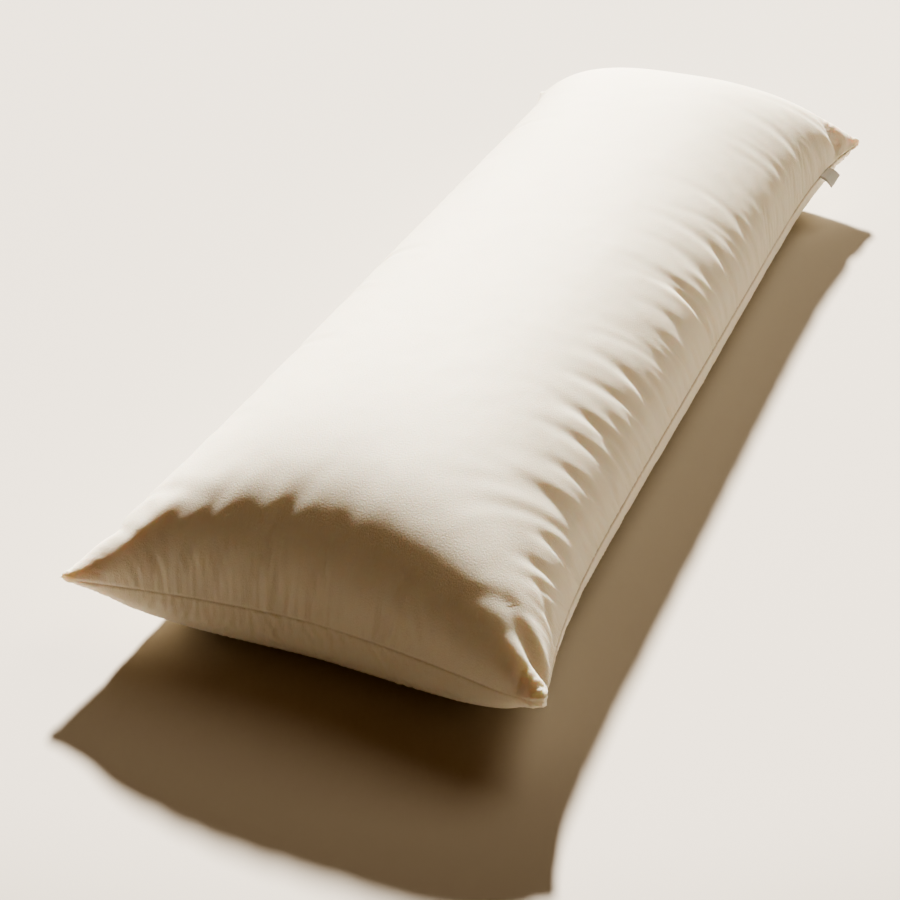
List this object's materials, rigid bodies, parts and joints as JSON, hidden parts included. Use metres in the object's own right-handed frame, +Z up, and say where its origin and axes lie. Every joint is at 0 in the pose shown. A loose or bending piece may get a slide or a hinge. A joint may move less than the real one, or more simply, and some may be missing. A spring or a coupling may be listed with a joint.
{
  "type": "body pillow",
  "caption": "Long rectangular filled pillow with a plain cotton cover, a knife-edge seam all round, four pointed ears and a small blank tape label.",
  "frame": {"origin": "on the surface it rests on, under the middle of the cushion", "axes": "+Y along the cushion's length, +X across its width towards the side with the label, +Z up from the face it rests on"},
  "size_m": [0.4803, 1.2996, 0.209],
  "materials": {
    "cotton_sateen": "fine cotton sateen with a low sheen",
    "satin_tape": "smooth satin"
  },
  "bodies": {
    "root": {"cushion": "cotton_sateen", "side_label": "satin_tape"}
  },
  "joints": []
}
